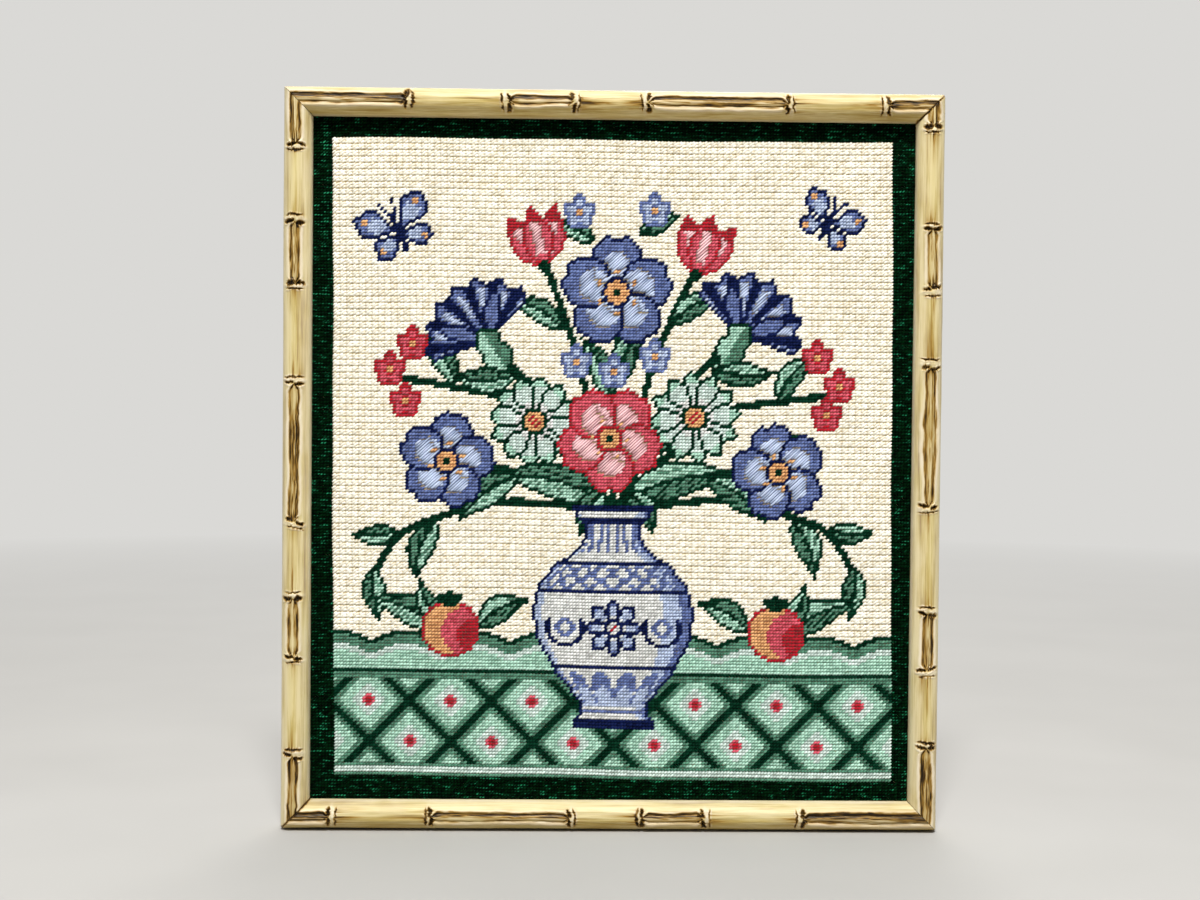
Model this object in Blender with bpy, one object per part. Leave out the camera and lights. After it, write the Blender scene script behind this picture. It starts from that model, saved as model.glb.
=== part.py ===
"""Needlepoint picture in a carved, bamboo-look wooden frame.

The picture faces -Y and its back lies on the plane y = 0. The origin is the middle of the ledge
under the back of the top rail, where the picture hangs. Sizes are in metres.
"""

import math

import bmesh
import bpy
from mathutils import Matrix, Vector

# Driving sizes
STITCH = 0.002
SIGHT_WIDTH = 191 * STITCH
SIGHT_HEIGHT = 216.5 * STITCH
FACE = 0.018
FRAME_WIDTH = SIGHT_WIDTH + 2 * FACE
FRAME_HEIGHT = SIGHT_HEIGHT + 2 * FACE
FRAME_DEPTH = 0.020

# The moulding's section: u runs inwards from the outer edge, v forwards from the back
CROWN_BASE = 0.0105
CROWN_RISE = FRAME_DEPTH - CROWN_BASE
CROWN_CENTRE = 0.0085
LIP_BACK = 0.009
RABBET_START = 0.0135
CROWN_STATIONS = (
    0.0, 0.0004, 0.0018, 0.0036, 0.0045, 0.0056, 0.0066, 0.0082,
    0.0098, 0.0108, 0.0119, 0.0128, 0.0144, 0.0160, 0.0173, 0.018,
)

# Pieces behind the moulding's lip
GAP = 0.0003
CANVAS_THICKNESS = 0.0025
BOARD_THICKNESS = 0.003

# Where the knuckles stand, measured clockwise from each length's first outer corner. The stretches
# between them are carved and plain by turns, and each length starts and ends on a carved one.
KNUCKLES = {
    "rail_top": (0.0798, 0.1401, 0.1842, 0.2280, 0.3187, 0.3791),
    "stile_right": (0.0227, 0.0838, 0.1256, 0.1710, 0.2631, 0.3270, 0.3673, 0.4131),
    "rail_bottom": (0.0881, 0.1478, 0.1903, 0.2325, 0.3241, 0.3848),
    "stile_left": (0.0485, 0.1081, 0.1489, 0.1939, 0.2836, 0.3432, 0.3853, 0.4297),
}

# A knuckle is a raised band between two cut lines, with a soft swelling on each side
KNUCKLE_STEPS = (
    {"along": -0.0046, "rise": 0.0},
    {"along": -0.0030, "rise": 0.00035},
    {"along": -0.0018, "rise": -0.00045},
    {"along": 0.0, "rise": 0.00045},
    {"along": 0.0018, "rise": -0.00045},
    {"along": 0.0030, "rise": 0.00035},
    {"along": 0.0046, "rise": 0.0},
)
KNUCKLE_CENTRE = 0.0086
KNUCKLE_HALF_WIDTH = 0.0085

# The carved trough's section: a raised lip, a groove and a tongue that stands between the grooves
SCAR_CENTRE = 0.0082
SCAR_STEPS = (
    {"across": 0.0, "rise": -0.00055},
    {"across": 0.0016, "rise": -0.00075},
    {"across": 0.0026, "rise": -0.00105},
    {"across": 0.0037, "rise": 0.0},
    {"across": 0.0046, "rise": 0.00015},
    {"across": 0.0064, "rise": 0.0},
)
SCAR_STARTS = 0.0038
SCAR_FULL = 0.0068

WOOD_COLOUR = (0.70, 0.57, 0.32, 1.0)
WOOL_COLOUR = (0.78, 0.72, 0.56, 1.0)
BOARD_COLOUR = (0.42, 0.33, 0.22, 1.0)


def clear_scene():
    for thing in list(bpy.data.objects):
        bpy.data.objects.remove(thing, do_unlink=True)


def make_material(name, colour, roughness):
    material = bpy.data.materials.new(name)
    material.use_nodes = True
    shader = material.node_tree.nodes["Principled BSDF"]
    shader.inputs["Base Color"].default_value = colour
    shader.inputs["Roughness"].default_value = roughness
    shader.inputs["Metallic"].default_value = 0.0
    material.diffuse_color = colour
    return material


def add_object(name, mesh, material, collection):
    thing = bpy.data.objects.new(name, mesh)
    mesh.materials.append(material)
    collection.objects.link(thing)
    return thing


def from_steps(steps, column, value):
    """The rise at a value of the named column, on straight lines between the rows."""
    if not steps[0][column] <= value <= steps[-1][column]:
        return 0.0
    for first, second in zip(steps, steps[1:]):
        if value <= second[column]:
            share = (value - first[column]) / (second[column] - first[column])
            return first["rise"] + share * (second["rise"] - first["rise"])
    return 0.0


def crown_height(u):
    """The plain moulding's front, two quarter ellipses that meet at the crown."""
    reach = CROWN_CENTRE if u < CROWN_CENTRE else FACE - CROWN_CENTRE
    share = (u - CROWN_CENTRE) / reach
    return CROWN_BASE + CROWN_RISE * math.sqrt(max(0.0, 1.0 - share * share))


def carved_stretches(knuckles):
    """(start, end) of each carved stretch. The first and last run out through the mitres."""
    bounds = (-math.inf, *knuckles, math.inf)
    return list(zip(bounds, bounds[1:]))[::2]


def scar_share(s, stretches):
    """How deep the trough is here: 0 outside it, 1 along it, with a slope at each knuckle."""
    for start, end in stretches:
        if start < s < end:
            nearest = min(s - start, end - s)
            return min(1.0, max(0.0, (nearest - SCAR_STARTS) / (SCAR_FULL - SCAR_STARTS)))
    return 0.0


def surface_rise(s, u, knuckles, stretches):
    """How far the carving stands out from the plain moulding, measured from the crown's centre."""
    across = (u - KNUCKLE_CENTRE) / KNUCKLE_HALF_WIDTH
    fade = max(0.0, 1.0 - across**4)
    nearest = min(knuckles, key=lambda place: abs(place - s))
    rise = fade * from_steps(KNUCKLE_STEPS, "along", s - nearest)
    trough = from_steps(SCAR_STEPS, "across", abs(u - SCAR_CENTRE))
    return rise + scar_share(s, stretches) * trough


def section_points(s, knuckles, stretches):
    """One closed section of the moulding, as points of (along, outwards, forwards)."""
    points = []
    centre = Vector((CROWN_CENTRE, CROWN_BASE))
    for u in CROWN_STATIONS:
        plain = Vector((u, crown_height(u)))
        outwards = (plain - centre).normalized()
        point = plain + outwards * surface_rise(s, u, knuckles, stretches)
        points.append(Vector((s, -point.x, point.y)))
    for u, v in ((FACE, LIP_BACK), (RABBET_START, LIP_BACK), (RABBET_START, 0.0), (0.0, 0.0)):
        points.append(Vector((s, -u, v)))
    return points


def section_places(knuckles, length):
    """Where sections are needed along one length, past both ends for the mitres' cuts."""
    places = [-GAP, length + GAP]
    for knuckle in knuckles:
        places += [knuckle + step["along"] for step in KNUCKLE_STEPS]
        places += [knuckle - SCAR_FULL, knuckle + SCAR_FULL]
    return sorted(places)


def loft(sections):
    """A closed bmesh through sections that all have the same number of points."""
    bm = bmesh.new()
    rings = [[bm.verts.new(point) for point in section] for section in sections]
    for near, far in zip(rings, rings[1:]):
        for i in range(len(near)):
            j = (i + 1) % len(near)
            bm.faces.new((near[i], near[j], far[j], far[i]))
    bm.faces.new(rings[0])
    bm.faces.new(rings[-1])
    return bm


def cut_mitre(bm, corner, slope):
    """Cuts one end off at 45 degrees and closes it, half a gap back from the true mitre."""
    normal = Vector((-slope, -1.0, 0.0)).normalized()
    everything = bm.verts[:] + bm.edges[:] + bm.faces[:]
    cut = bmesh.ops.bisect_plane(
        bm,
        geom=everything,
        plane_co=Vector((corner, 0.0, 0.0)) - normal * GAP / 2,
        plane_no=normal,
        clear_outer=True,
    )
    rim = [piece for piece in cut["geom_cut"] if isinstance(piece, bmesh.types.BMEdge)]
    bmesh.ops.contextual_create(bm, geom=rim)


def moulding_mesh(name, length):
    knuckles = KNUCKLES[name]
    stretches = carved_stretches(knuckles)
    sections = [
        section_points(s, knuckles, stretches) for s in section_places(knuckles, length)
    ]
    bm = loft(sections)
    cut_mitre(bm, 0.0, 1.0)
    cut_mitre(bm, length, -1.0)
    bmesh.ops.recalc_face_normals(bm, faces=bm.faces[:])
    bmesh.ops.translate(bm, verts=bm.verts[:], vec=(-length / 2, 0.0, 0.0))
    mesh = bpy.data.meshes.new(name)
    bm.to_mesh(mesh)
    bm.free()
    mesh.shade_smooth()
    mesh.set_sharp_from_angle(angle=math.radians(35))
    return mesh


def add_moulding(name, length, outer_middle, quarter_turns, material, collection):
    """One length of moulding, its outer back edge's middle at the given point. Turns run clockwise
    from the top rail, seen from the front."""
    rail = add_object(name, moulding_mesh(name, length), material, collection)
    facing = Matrix.Rotation(math.pi / 2, 4, "X")
    turned = Matrix.Rotation(quarter_turns * math.pi / 2, 4, "Y")
    rail.matrix_world = Matrix.Translation(outer_middle) @ turned @ facing
    return rail


def add_sheet(name, front, thickness, centre_z, material, collection):
    """A flat sheet that fills the rabbet, its front face at the given distance from the back."""
    bm = bmesh.new()
    bmesh.ops.create_cube(bm, size=1.0)
    width = FRAME_WIDTH - 2 * (RABBET_START + GAP)
    height = FRAME_HEIGHT - 2 * (RABBET_START + GAP)
    bmesh.ops.scale(bm, verts=bm.verts[:], vec=(width, thickness, height))
    mesh = bpy.data.meshes.new(name)
    bm.to_mesh(mesh)
    bm.free()
    sheet = add_object(name, mesh, material, collection)
    sheet.location = (0.0, thickness / 2 - front, centre_z)
    return sheet


def build():
    clear_scene()
    collection = bpy.data.collections.new("framed_needlepoint")
    bpy.context.scene.collection.children.link(collection)

    top = RABBET_START
    bottom = top - FRAME_HEIGHT
    middle = (top + bottom) / 2
    side = FRAME_WIDTH / 2
    lengths = (
        ("rail_top", FRAME_WIDTH, (0.0, 0.0, top)),
        ("stile_right", FRAME_HEIGHT, (side, 0.0, middle)),
        ("rail_bottom", FRAME_WIDTH, (0.0, 0.0, bottom)),
        ("stile_left", FRAME_HEIGHT, (-side, 0.0, middle)),
    )
    for turns, (name, length, outer_middle) in enumerate(lengths):
        wood = make_material(name + "_wood", WOOD_COLOUR, 0.45)
        add_moulding(name, length, outer_middle, turns, wood, collection)

    wool = make_material("canvas_wool", WOOL_COLOUR, 0.95)
    canvas_front = LIP_BACK - GAP
    add_sheet("needlepoint_canvas", canvas_front, CANVAS_THICKNESS, middle, wool, collection)

    card = make_material("mount_board_card", BOARD_COLOUR, 0.85)
    board_front = canvas_front - CANVAS_THICKNESS - GAP
    add_sheet("mount_board", board_front, BOARD_THICKNESS, middle, card, collection)


build()
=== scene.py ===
"""The looks of the framed needlepoint picture: every stitch of the canvas, the carved moulding,
the board behind, a pale floor, soft light and the camera. Sizes are in metres."""

import math

import bmesh
import bpy
import numpy as np
from mathutils import Matrix, Vector


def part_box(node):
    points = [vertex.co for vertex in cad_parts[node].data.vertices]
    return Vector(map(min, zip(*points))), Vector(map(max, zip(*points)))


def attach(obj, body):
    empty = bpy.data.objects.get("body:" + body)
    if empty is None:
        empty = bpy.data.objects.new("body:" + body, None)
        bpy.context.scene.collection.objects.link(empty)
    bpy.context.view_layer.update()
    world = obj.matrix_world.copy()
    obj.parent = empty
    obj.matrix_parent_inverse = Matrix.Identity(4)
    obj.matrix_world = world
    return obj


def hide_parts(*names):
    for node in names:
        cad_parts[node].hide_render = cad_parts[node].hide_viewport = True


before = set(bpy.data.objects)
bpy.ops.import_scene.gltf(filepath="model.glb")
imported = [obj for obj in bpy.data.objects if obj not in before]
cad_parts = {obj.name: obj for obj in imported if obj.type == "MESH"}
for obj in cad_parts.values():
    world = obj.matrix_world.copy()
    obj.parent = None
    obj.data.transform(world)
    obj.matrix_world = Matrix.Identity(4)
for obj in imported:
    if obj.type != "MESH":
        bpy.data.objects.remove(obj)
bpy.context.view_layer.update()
random = np.random.default_rng(7)

# Sizes, all read from the frame or from the stitch
STITCH = 0.002
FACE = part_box("rail_top")[1].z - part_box("rail_top")[0].z
LEFT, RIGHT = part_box("stile_left")[0].x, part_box("stile_right")[1].x
TOP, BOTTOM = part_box("rail_top")[1].z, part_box("rail_bottom")[0].z
OPENING_LOW = np.array((LEFT + FACE, BOTTOM + FACE))
OPENING_HIGH = np.array((RIGHT - FACE, TOP - FACE))
MIDDLE = Vector(((LEFT + RIGHT) / 2, 0, (TOP + BOTTOM) / 2))
CANVAS_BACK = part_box("needlepoint_canvas")[1].y

# Yarn colours, as sRGB
YARNS = {
    "cream": (255, 252, 241),
    "forest": (4, 42, 18),
    "bottle": (14, 62, 42),
    "sage": (102, 162, 134),
    "mint": (204, 242, 224),
    "ice": (238, 252, 246),
    "navy": (28, 40, 90),
    "slate": (122, 142, 198),
    "sky": (212, 224, 248),
    "white": (252, 252, 250),
    "crimson": (204, 16, 42),
    "rose": (240, 106, 126),
    "blush": (255, 214, 218),
    "peach": (250, 198, 138),
}
YARN_NAMES = list(YARNS)

# The design inside the plain border, in stitches
WIDE, TALL = 178, 202

# The needlepoint's chart: one yarn to a cell, X = 0 on the middle line and Y = 0 at the foot. A
# cell marked satin is worked in long slanting stitches.
YARN_CELLS = np.zeros((TALL, WIDE), int)
SATIN_CELLS = np.zeros((TALL, WIDE), bool)
X, Y = np.meshgrid(np.arange(WIDE) - (WIDE - 1) / 2, np.arange(TALL) + 0.5)


def paint(mask, yarn, satin=False):
    YARN_CELLS[mask] = YARN_NAMES.index(yarn)
    SATIN_CELLS[mask] = satin


def trim(mask, yarn):
    """Outlines a shape with one row of stitches, just inside it."""
    inner = mask.copy()
    inner[1:] &= mask[:-1]
    inner[:-1] &= mask[1:]
    inner[:, 1:] &= mask[:, :-1]
    inner[:, :-1] &= mask[:, 1:]
    paint(mask & ~inner, yarn)


def leaning(x, y, degrees):
    """Each cell's place along and across a direction that leans clockwise from upright."""
    lean = math.radians(degrees)
    dx, dy = X - x, Y - y
    along = dx * math.sin(lean) + dy * math.cos(lean)
    across = dx * math.cos(lean) - dy * math.sin(lean)
    return along, across


def disc(x, y, radius, tall=1):
    return np.hypot(X - x, (Y - y) / tall) <= radius


def ring(x, y, degrees, reach, radius):
    """A disc at the given reach from (x, y), in the given direction."""
    lean = math.radians(degrees)
    return disc(x + math.sin(lean) * reach, y + math.cos(lean) * reach, radius)


def lobe(x, y, degrees, length, width, fullness=1, bend=0):
    """A petal or leaf from (x, y). More fullness puts its widest part nearer the tip."""
    along, across = leaning(x, y, degrees)
    t = np.clip(along / length, 0, 1)
    across = across - bend * 4 * t * (1 - t)
    half = 0.5 * width * np.sin(np.pi * t**fullness)
    return (along > 0) & (along < length) & (abs(across) <= half), t, across / width


def stem(points):
    """A smooth stroke through the given points."""
    where = np.linspace(0, len(points) - 1, 40 * (len(points) - 1))
    window = np.hanning(41) / np.hanning(41).sum()
    line = []
    for places in zip(*points):
        straight = np.interp(where, range(len(points)), places)
        padded = np.pad(straight, 20, mode="reflect", reflect_type="odd")
        line.append(np.convolve(padded, window, mode="valid"))
    for x, y in zip(*line):
        paint(disc(x, y, 1.15), "bottle")


def leaf(x, y, degrees, length, width, bend=0):
    """A leaf in two greens, with a midrib and slanting veins."""
    mask, t, side = lobe(x, y, degrees, length, width, 0.8, bend)
    paint(mask, "mint")
    paint(mask & (side > 0), "sage")
    veins = mask & (abs((t * length + 2.2 * abs(side) * width) % 4 - 2) < 0.5)
    paint(veins & (side > 0.03), "bottle")
    paint(veins & (side < -0.03), "sage")
    trim(mask, "bottle")
    paint(mask & (abs(side * width) < 0.55) & (t < 0.9), "bottle")


def wild_rose(x, y, radius, turn, body, pale, rim):
    """Five round petals, each with a paler heart in long stitches, round a yellow eye."""
    for lean in range(turn, turn + 360, 72):
        mask = ring(x, y, lean, radius * 0.56, radius * 0.46)
        mask &= ~ring(x, y, lean, radius * 1.12, radius * 0.17)
        paint(mask, body)
        heart = ring(x, y, lean, radius * 0.42, radius * 0.29)
        paint(mask & heart, pale, satin=True)
        trim(mask, rim)
    paint(disc(x, y, radius * 0.26), rim)
    paint(disc(x, y, radius * 0.2), "peach")
    for lean in range(turn, turn + 360, 60):
        paint(ring(x, y, lean, radius * 0.34, 0.75), "peach")
    paint(disc(x, y, 1.2), "bottle")


def aster(x, y, radius, petals, turn, body, tip, rim, eye):
    """Narrow petals in two layers round a chequered eye."""
    for petal in [*range(0, petals, 2), *range(1, petals, 2)]:
        mask, t, _ = lobe(x, y, turn + 360 * petal / petals, radius, radius * 0.5, 1.5)
        paint(mask, body)
        paint(mask & (t > 0.74), tip)
        paint(mask & (t < 0.42), "white")
        trim(mask, rim)
    paint(disc(x, y, radius * 0.27), rim)
    paint(disc(x, y, radius * 0.21), eye)
    checks = (np.floor(X) + np.floor(Y)) % 2 == 0
    paint(disc(x, y, radius * 0.14) & checks, "crimson")


def carnation(x, y, radius, degrees):
    """A striped fan with a toothed edge, seen from the side in its green cup."""
    along, across = leaning(x, y, degrees)
    angle = np.degrees(np.arctan2(across, along))
    reach = np.hypot(along, across) / radius
    fan = (abs(angle) < 78) & (reach < 0.9 + 0.14 * zigzag(angle / 11))
    rays = zigzag(angle / 13)
    paint(fan, "navy")
    paint(fan & (rays > 0.45) & (reach > 0.24), "slate")
    paint(fan & (rays > 0.62) & (reach > 0.42) & (reach < 0.84), "sky", satin=True)
    trim(fan, "navy")
    for lean in (42, -42):
        petal = lobe(x, y, degrees + lean, radius * 0.86, radius * 0.3, 1.2)[0]
        paint(petal, "slate")
        trim(petal, "navy")
    cup = lobe(x, y, degrees + 180, radius * 0.62, radius * 0.52, 0.75)[0]
    cup |= disc(x, y, radius * 0.22)
    paint(cup, "sage")
    paint(cup & (across < 0), "mint")
    trim(cup, "bottle")


def tulip(x, y, tall, degrees):
    """Three upright petals with pale hearts in long stitches."""
    for lean in (-24, 24, 0):
        mask, t, side = lobe(x, y, degrees + lean, tall, tall * 0.5, 0.85)
        paint(mask, "rose")
        paint(mask & (abs(side) < 0.17) & (t > 0.2) & (t < 0.8), "blush", satin=True)
        paint(mask & (t > 0.72), "crimson")
        trim(mask, "crimson")
    paint(disc(x, y, tall * 0.09), "bottle")


def small_flower(x, y, body, rim):
    """Five small petals, four stitches across."""
    for reach, radius, yarn in ((3.1, 2.5, rim), (2.9, 1.45, body)):
        for petal in range(5):
            paint(ring(x, y, 72 * petal, reach, radius), yarn)
    paint(disc(x, y, 1.3), "peach")


def fruit(x, y, radius):
    """A round fruit with a red cheek and a green crown."""
    mask = disc(x, y, radius, 0.94)
    paint(mask, "peach")
    paint(mask & disc(x + radius * 0.5, y - radius * 0.1, radius * 0.8), "rose")
    paint(mask & disc(x + radius * 0.85, y - radius * 0.25, radius * 0.62), "crimson")
    trim(mask, "crimson")
    for lean in (-38, 0, 38):
        paint(lobe(x, y + radius * 0.72, lean, radius * 0.6, radius * 0.34)[0], "bottle")


def butterfly(x, y, size, degrees):
    """Four wings with spots, a body and two feelers."""
    for side in (-1, 1):
        for lean, long, wide in ((52, 1, 0.62), (118, 0.72, 0.52)):
            turn = degrees + side * lean
            mask, t, across = lobe(x, y, turn, size * long, size * wide, 1.5)
            paint(mask, "slate")
            paint(mask & (t > 0.3) & (t < 0.66) & (abs(across) < 0.25), "sky")
            trim(mask, "navy")
            paint(ring(x, y, turn, size * long * 0.76, 1.1), "peach")
    along, across = leaning(x, y, degrees)
    paint((abs(across) < 0.9) & (abs(along) < size * 0.42), "navy")
    for side in (-1, 1):
        feeler = abs(across - side * (along - size * 0.3) * 0.4) < 0.5
        paint(feeler & (along > size * 0.35) & (along < size * 0.72), "navy")


def zigzag(value):
    """A wave of straight lines between 0 and 1, two units long."""
    return abs(value % 2 - 1)


def chart_cloth():
    """A green cloth with a scalloped edge and a pattern of diamonds."""
    below = 43 + 3.4 * abs(np.sin(np.pi * (X + 11) / 22)) - Y
    for depth, yarn in ((math.inf, "mint"), (6.4, "ice"), (4.4, "sage"), (1.3, "bottle")):
        paint((below > 0) & (below < depth), yarn)
    body = Y < 31
    down = zigzag((X + Y + 2) / 13)
    up = zigzag((X - Y - 2) / 13)
    inside = np.minimum(down, up)
    paint(body, "sage")
    for level, yarn in ((0.24, "mint"), (0.58, "ice"), (0.78, "rose"), (0.91, "crimson")):
        paint(body & (inside > level), yarn)
    paint(body & (inside < 0.08), "bottle")
    for low, high, yarn in ((31, 33, "sage"), (33, 34, "bottle"), (0, 4, "sage"), (1, 3, "ice")):
        paint((Y > low) & (Y < high), yarn)


# The vase's outline, from its foot to its mouth
VASE_HEIGHTS = (0, 3, 5, 9, 18, 28, 37, 45, 52, 56, 60, 65, 68, 71)
VASE_HALVES = (13, 13, 10.5, 11.5, 19, 24.5, 26, 24, 18.5, 12, 9.5, 9.5, 12, 13.5)


def chart_vase(foot):
    """A blue and white vase."""
    rise = Y - foot
    half = np.interp(rise, VASE_HEIGHTS, VASE_HALVES)
    body = (rise > 0) & (rise < VASE_HEIGHTS[-1]) & (abs(X) < half)

    def band(low, high):
        return body & (rise >= low) & (rise < high)

    turn = np.clip(X / half, -1, 1)
    round_x = np.arcsin(turn) * 16
    paint(body, "white")
    paint(body & ((turn > 0.62) | (turn < -0.88)), "sky")
    paint(body & (turn > 0.84), "slate")
    petal = np.sqrt(1 - zigzag(round_x / 4) ** 2)
    paint(band(7, 8 + 10 * petal), "slate")
    paint(band(7, 5.6 + 8 * petal), "sky")
    mesh = (zigzag((round_x + rise) / 2.6) < 0.3) | (zigzag((round_x - rise) / 2.6) < 0.3)
    paint(band(44.4, 52) & mesh, "slate")
    paint(band(56, 65) & (zigzag(round_x / 2.2) < 0.5), "slate")
    paint(band(5, 6.4), "slate")
    for low, high in ((0, 2.6), (18.6, 20.2), (43, 44.4), (52, 53.4), (65, 66.6), (69.4, 71)):
        paint(band(low, high), "navy")
    trim(body, "navy")
    middle = foot + 32
    for x in (-15.5, 15.5):
        paint(disc(x, middle, 3.2) & body, "slate")
        paint(disc(x, middle, 1.6) & body, "white")
        scroll = abs(np.hypot(X - x, Y - middle) - 5.6) < 0.6
        paint(scroll & body & (rise < 35), "navy")
    aster(0, middle, 9.6, 8, 0, "sky", "slate", "navy", "white")


def chart_flowers(mouth):
    """Stems, then leaves, then flowers. Places are (x, height above the vase's mouth)."""
    stems = (
        ((0, 0), (-1, 30), (2, 66)),
        ((-3, 0), (-13, 26), (-38, 50)), ((3, 0), (14, 28), (37, 54)),
        ((-4, 0), (-24, 10), (-52, 14)), ((4, 0), (24, 12), (52, 12)),
        ((-2, 0), (-10, 44), (-22, 78)), ((2, 0), (12, 46), (26, 76)),
        ((-4, 0), (-38, 2), (-68, -8), (-76, -22)), ((4, 0), (40, 4), (69, -6), (77, -20)),
        ((-3, 2), (-30, 34), (-66, 40)), ((3, 2), (32, 32), (68, 36)),
    )
    for points in stems:
        stem([(x, mouth + up) for x, up in points])
    leaves = (
        # x, height, lean, length, width, bend: a left leaf, then its fellow on the right
        (-2, 2, -78, 36, 12, 3), (3, 2, 76, 38, 12, -3),
        (-6, 12, -44, 30, 11, 3), (8, 14, 48, 30, 11, -3),
        (-10, 26, -70, 24, 9, -2), (12, 28, 66, 24, 9, 2),
        (-1, 34, -26, 22, 9, 2), (1, 38, 24, 22, 9, -2),
        (-30, 10, -128, 24, 10, 2), (30, 10, 126, 24, 10, -2),
        (-40, 12, -66, 24, 9, 2), (42, 12, 62, 24, 9, -2),
        (-30, 42, -92, 22, 9, -2), (30, 46, 96, 22, 9, 2),
        (-16, 56, -62, 20, 8, 2), (18, 58, 60, 20, 8, -2),
        (-56, -5, -160, 20, 9, 2), (57, -3, 158, 20, 9, -2),
        (-68, -8, -96, 15, 7, -1), (69, -6, 94, 15, 7, 1),
        (-76, -20, -186, 17, 8, 1), (77, -18, 186, 17, 8, -1),
        (-50, 38, -38, 20, 8, 2), (52, 34, 40, 20, 8, -2),
        (-6, 84, -66, 15, 7, 1), (8, 86, 62, 15, 7, -1),
        (-2, 6, -150, 17, 8, 2), (4, 6, 148, 17, 8, -2),
    )
    for x, up, lean, length, width, bend in leaves:
        leaf(x, mouth + up, lean, length, width, bend)
    for x, up in ((-71, 43), (-64, 51), (-66, 33), (72, 39), (65, 48), (68, 30)):
        small_flower(x, mouth + up, "rose", "crimson")
    for x, up, lean in ((-22, 76, -14), (26, 74, 16)):
        tulip(x, mouth + up, 20, lean)
    for x, up, lean in ((-40, 52, -34), (40, 55, 32)):
        carnation(x, mouth + up, 20, lean)
    for x, up, turn in ((-53, 14, 10), (53, 12, -14)):
        wild_rose(x, mouth + up, 15.5, turn, "slate", "sky", "navy")
    for x, up, turn in ((-25, 27, 8), (26, 29, -6)):
        aster(x, mouth + up, 15, 12, turn, "ice", "mint", "bottle", "peach")
    wild_rose(1, mouth + 68, 18, 0, "slate", "sky", "navy")
    wild_rose(-1, mouth + 22, 17, 36, "rose", "blush", "crimson")
    for x, up in ((-12, 46), (13, 48), (-11, 93), (13, 94), (0, 43)):
        small_flower(x, mouth + up, "sky", "slate")


def draw_chart():
    """The whole design: flowers in a vase on a cloth, with fruit beside it and butterflies above."""
    chart_cloth()
    foot = 16
    chart_flowers(foot + 70)
    chart_vase(foot)
    for side in (-1, 1):
        leaf(side * 44, 47, side * -62, 20, 9, side * 2)
        leaf(side * 54, 46, side * 66, 26, 10, side * -2)
        leaf(side * 54, 50, side * 30, 15, 7, side * 2)
        fruit(side * 52, 47, 9.5)
    butterfly(-68, 172, 15, -24)
    butterfly(68, 176, 13, 30)


# The colours of wood, paler wear and painted highlight, staining and painted shade, varnish,
# painted glints, canvas, board and floor, as sRGB
WOOD_PALE = (218, 203, 149)
WOOD_MID = (194, 174, 105)
WOOD_DEEP = (142, 111, 46)
WOOD_WEAR_AND_HIGHLIGHT = (232, 219, 192)
TAN_STAIN_AND_SHADE = (160, 124, 52)
BROWN_STAIN_AND_SHADE = (88, 60, 18)
DARK_STAIN_AND_SHADE = (20, 10, 2)
VARNISH_TINT = (255, 236, 200)
FOREST_PAINTED_GLINT = (52, 172, 120)
RAW_PALE = (214, 186, 142)
RAW_DEEP = (168, 134, 92)
CANVAS_TAN = (206, 182, 134)
CANVAS_DEEP = (134, 110, 72)
CARD_PALE = (148, 122, 92)
CARD_DEEP = (112, 90, 66)
CARD_SPECK = (70, 54, 38)
FLOOR_PALE = (180, 179, 176)
FLOOR_DEEP = (176, 175, 172)
BACKDROP_FRONT = (152, 151, 148)
BACKDROP_REAR = (218, 217, 214)

# How the painted shade in a stitch's low parts follows from its yarn's colour: a power and a share,
# or shares of red, green, blue
GROOVE_SHADE_POWER, GROOVE_SHADE_SHARE = 2.2, 0.5
GROOVE_SHADE_WARM = (0.82, 0.68, 0.4)


def linear(colour):
    """A Blender colour from three sRGB values between 0 and 255."""
    shares = np.array(colour) / 255
    light = np.where(shares <= 0.04045, shares / 12.92, ((shares + 0.055) / 1.055) ** 2.4)
    return (*light.tolist(), 1)


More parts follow.
